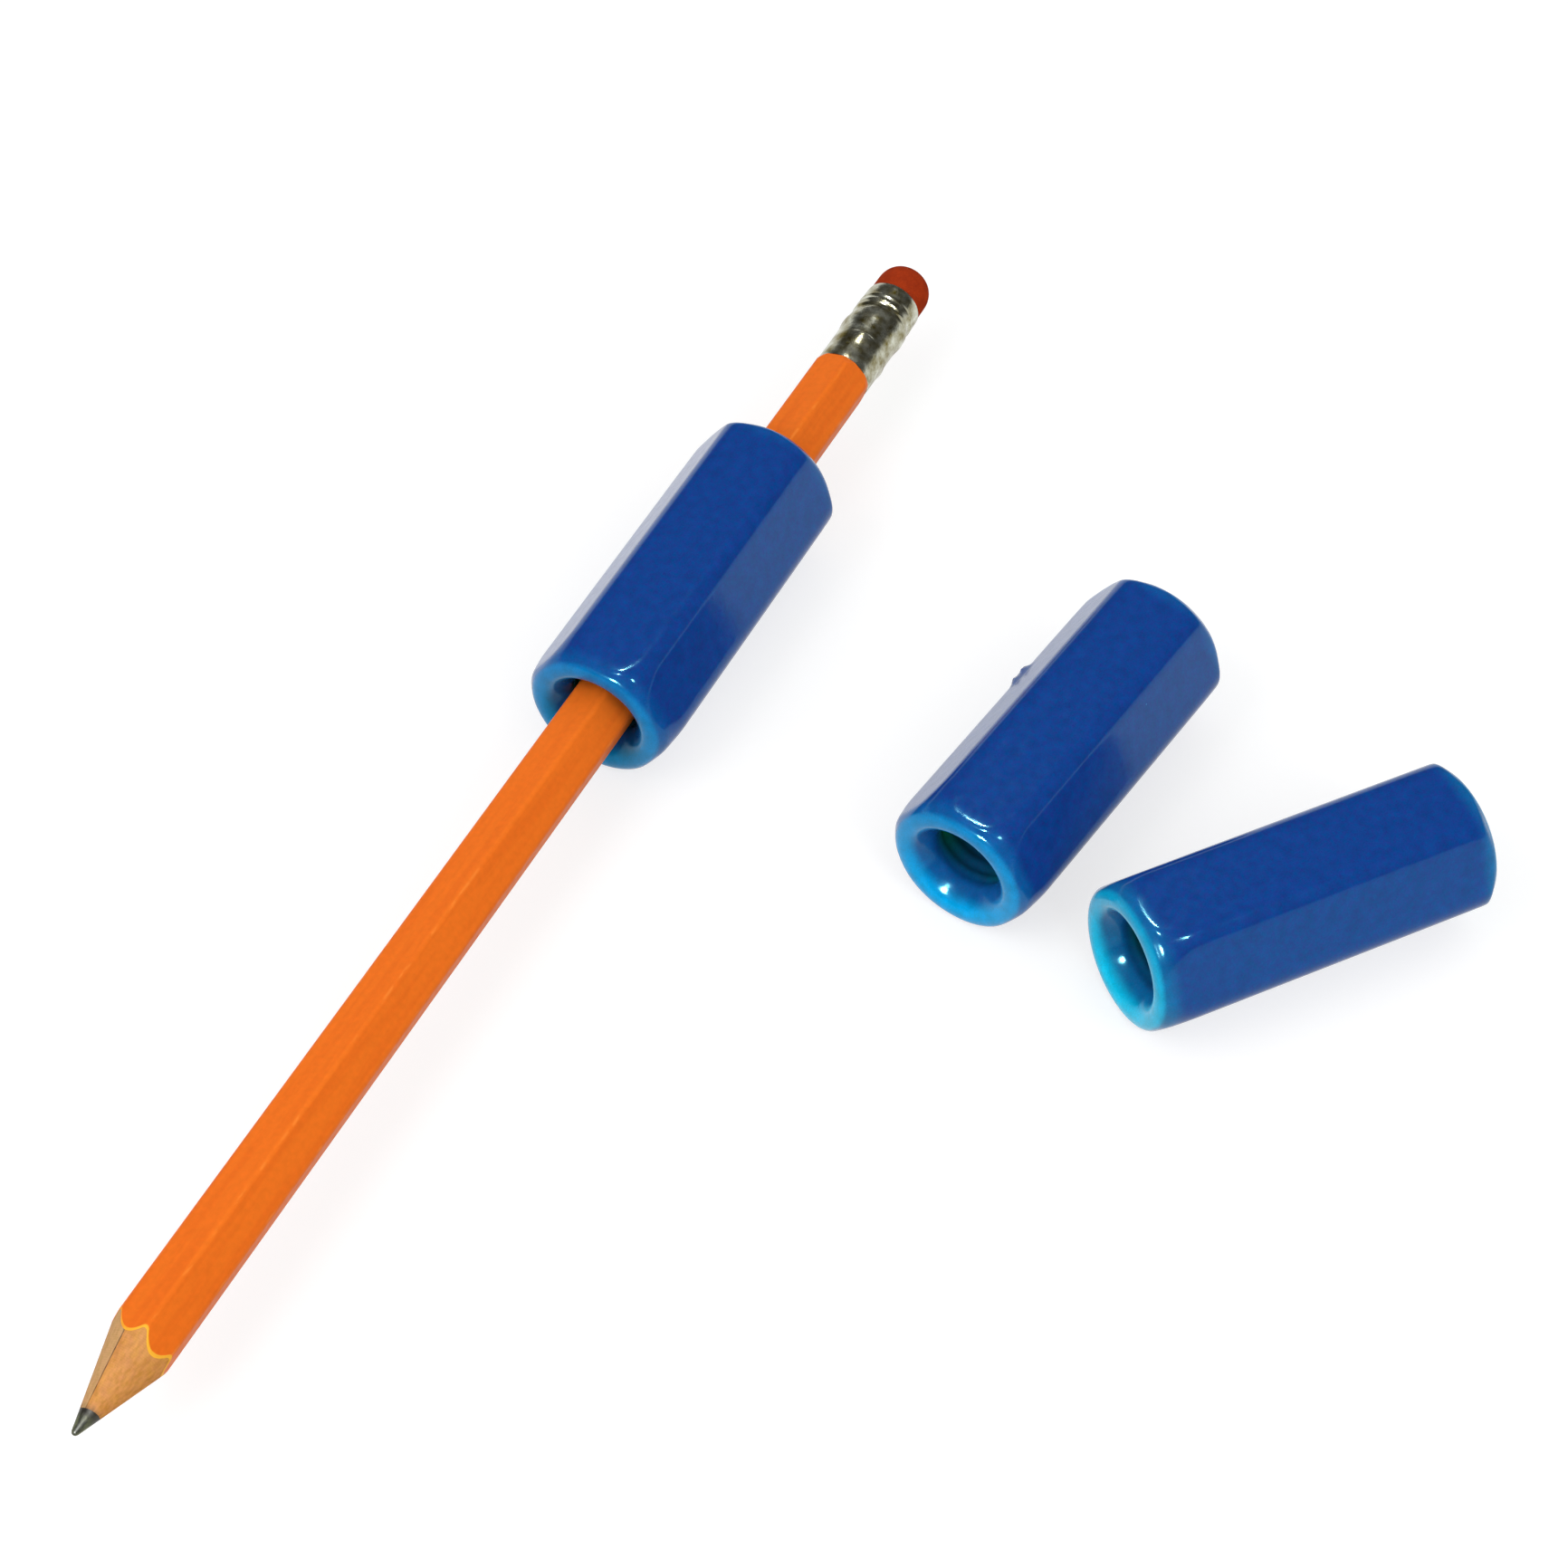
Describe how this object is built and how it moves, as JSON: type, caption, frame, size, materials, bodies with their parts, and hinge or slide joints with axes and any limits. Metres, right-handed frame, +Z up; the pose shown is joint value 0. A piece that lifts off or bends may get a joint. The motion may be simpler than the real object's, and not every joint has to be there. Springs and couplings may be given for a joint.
{
  "type": "pencil weight set",
  "caption": "Hexagonal pencil carrying a slide-on vinyl-dipped hexagonal steel weight, with matching loose weights lying beside it",
  "frame": {"origin": "middle of the bottom flat of the weight on the pencil, on the table", "axes": "+X along the pencil from its point to its eraser, +Z up from the table, the loose weights on the -Y side"},
  "size_m": [0.1934, 0.113, 0.0177],
  "materials": {
    "graphite": "dark grey sharpened graphite",
    "cedar": "bare cut cedar",
    "lacquer": "yellow-orange lacquer film",
    "ferrule": "bright drawn and crimped",
    "eraser": "matt brick red",
    "steel": "plain, under the coat",
    "vinyl": "glossy royal blue dipped vinyl"
  },
  "bodies": {
    "pencil": {"graphite_core": "graphite", "cedar_slat_left": "cedar", "cedar_slat_right": "cedar", "barrel_lacquer": "lacquer", "ferrule": "ferrule", "eraser": "eraser"},
    "mounted_weight": {"mounted_weight_nut": "steel", "mounted_weight_coat": "vinyl"},
    "loose_weight_a": {"loose_weight_a_nut": "steel", "loose_weight_a_coat": "vinyl"},
    "loose_weight_b": {"loose_weight_b_nut": "steel", "loose_weight_b_coat": "vinyl"}
  },
  "joints": [
    {"name": "weight_slide", "type": "slide", "parent": "pencil", "child": "mounted_weight", "axis": [1, 0, 0], "range_m": [-0.092, 0.0194]},
    {"name": "loose_a_lift", "type": "slide", "parent": "pencil", "child": "loose_weight_a", "axis": [0, 0, 1], "range_m": [0, 0.06]},
    {"name": "loose_b_lift", "type": "slide", "parent": "pencil", "child": "loose_weight_b", "axis": [0, 0, 1], "range_m": [0, 0.06]}
  ]
}
